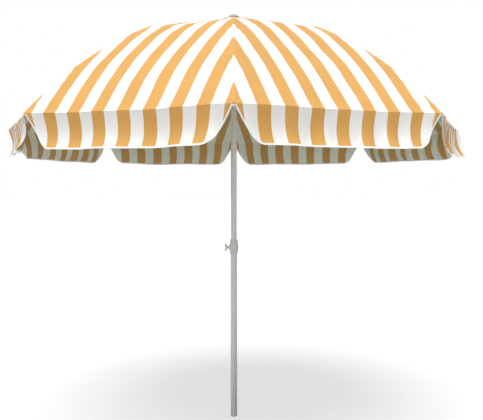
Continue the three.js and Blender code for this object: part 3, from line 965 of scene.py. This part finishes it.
# The tip cap from its blunt end down its skirt and up its bore, as (radius, height)
TIP_PROFILE = [
    (0, 0.0060), (0.0030, 0.0056), (0.0050, 0.0030), (0.0050, 0.0002), (0.0044, -0.0120),
    (0.0030, -0.0120), (0.0030, 0.0004), (0, 0.0004),
]
TIP_ROUNDING = 0.0009


def build_tip(i):
    """The moulded cap on the rod's end, a blunt bead with a tapered skirt."""
    number = i + 1
    profile = rounded(TIP_PROFILE, TIP_ROUNDING)
    mesh = turned_mesh(f"tip_cap_{number}", profile[::-1], 32)
    slope = OUTER_SLOPE + OUTER_BEND
    out, sideways, up = rib_frame(i)
    along = math.cos(slope) * out - math.sin(slope) * up
    square = np.cross(sideways, along)
    turn = Matrix((square, sideways, along)).transposed().to_4x4()
    turn.translation = Vector(in_space([TIP[0], 0, TIP[1]], i))
    mesh.transform(turn)
    cap = new_piece(f"tip_cap_{number}", mesh, CREAM)
    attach(cap, f"rib_outer_{number}")
    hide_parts(f"rib_tip_{number}")


# ---------- CAD nodes that stay, with rounded edges and real finishes ----------
def finish_node(name, material, edge):
    node = frame["nodes"][name]
    node.data.materials.clear()
    node.data.materials.append(material)
    node.data.shade_smooth()
    weld = node.modifiers.new("weld", "WELD")
    weld.merge_threshold = 1e-6
    flat = node.modifiers.new("flat", "DECIMATE")
    flat.decimate_type = "DISSOLVE"
    flat.angle_limit = math.radians(0.5)
    if edge:
        bevel = node.modifiers.new("edges", "BEVEL")
        bevel.width = edge
        bevel.segments = 2
        bevel.limit_method = "ANGLE"
        bevel.angle_limit = math.radians(32)
        bevel.harden_normals = True


def finish_nodes():
    for name in ("foot_plug", "height_collar", "clamp_screw", "guide_bush", "crown_hub", "runner"):
        finish_node(name, PLASTIC, 0.0005)
    # The crown cap takes the darker grey, painted shade over the whole cap.
    finish_node("crown_cap", CAP_PLASTIC_SHADED, 0.0005)
    for name in ("lower_tube", "upper_tube"):
        finish_node(name, PAINT, 0.0003)
    for name in ("clamp_nut", "runner_button", "crown_ring"):
        finish_node(name, STEEL, 0.0003)
    for i in range(RIBS):
        finish_node(f"rib_inner_{i + 1}", STEEL, 0.0002)


# ---------- Stage ----------
def seen_or_lit(nodes, links, seen, lit):
    """A strength for the studio itself: one as the viewer sees it, one as it lights the object."""
    strength = nodes.new("ShaderNodeMapRange")
    links.new(nodes.new("ShaderNodeLightPath").outputs["Is Camera Ray"], strength.inputs[0])
    strength.inputs[3].default_value = lit
    strength.inputs[4].default_value = seen
    return strength.outputs[0]


def build_stage():
    slab = [
        (0, FLOOR_UNDER), (0, FLOOR_TOP), (FLOOR_RADIUS, FLOOR_TOP), (FLOOR_RADIUS, FLOOR_UNDER)
    ]
    floor = turned_mesh("floor", slab, 96)
    shader = Shader("floor", Specular_IOR_Level=0.2, Emission_Color=(1, 1, 1, 1))
    tone = shader.ranged(shader.noise(shader.place(), 1.5, 3.0), 0.3, 0.7, 0.0, 1.0)
    colour = shader.mixed(tone, grey(0.41), grey(0.43))
    rough = shader.ranged(tone, 0, 1, 0.85, 0.95)
    glow = seen_or_lit(shader.nodes, shader.links, FLOOR_GLOW, 0)
    shader.put(shader.surface.inputs["Emission Strength"], glow)
    new_piece("floor", floor, shader.finish(Base_Color=colour, Roughness=rough))
    world = bpy.data.worlds.new("studio")
    world.use_nodes = True
    nodes, links = world.node_tree.nodes, world.node_tree.links
    sweep = nodes["Background"]
    sweep.inputs["Color"].default_value = (1, 1, 1, 1)
    links.new(seen_or_lit(nodes, links, 1.0, FILL), sweep.inputs["Strength"])
    bpy.context.scene.world = world
    bpy.context.scene.view_settings.view_transform = "Standard"


def soft_light(name, way, spread, strength):
    """A wide, soft light from far away that shines along a direction."""
    light = bpy.data.lights.new(name, "SUN")
    light.angle = spread
    light.energy = strength
    holder = bpy.data.objects.new(name, light)
    bpy.context.scene.collection.objects.link(holder)
    holder.rotation_euler = Vector(way).to_track_quat("-Z", "Y").to_euler()


def low_panel(place, target, size, power):
    """A lit panel beside the camera that reaches in under the canopy. No view shows it."""
    light = bpy.data.lights.new("low", "AREA")
    light.size = size
    light.energy = power
    holder = bpy.data.objects.new("low", light)
    bpy.context.scene.collection.objects.link(holder)
    holder.location = place
    holder.rotation_euler = (Vector(target) - Vector(place)).to_track_quat("-Z", "Y").to_euler()
    holder.visible_camera = False


def build_camera():
    camera = bpy.data.cameras.new("camera")
    camera.sensor_width = 36
    camera.lens = LENS
    holder = bpy.data.objects.new("camera", camera)
    holder.location = CAMERA_PLACE
    holder.rotation_euler = (math.radians(90 - CAMERA_DOWN), 0, math.radians(CAMERA_TURN))
    bpy.context.scene.collection.objects.link(holder)
    bpy.context.scene.camera = holder


build_camera()
build_stage()
soft_light("key", KEY_WAY, KEY_SPREAD, KEY)
soft_light("side", SIDE_WAY, SIDE_SPREAD, SIDE_LIGHT)
low_panel(LOW_PANEL_PLACE, LOW_PANEL_TARGET, LOW_PANEL_SIZE, LOW_PANEL)
build_canopy()
build_collar()
build_crown_cloth()
build_valance()
build_rods()
finish_nodes()
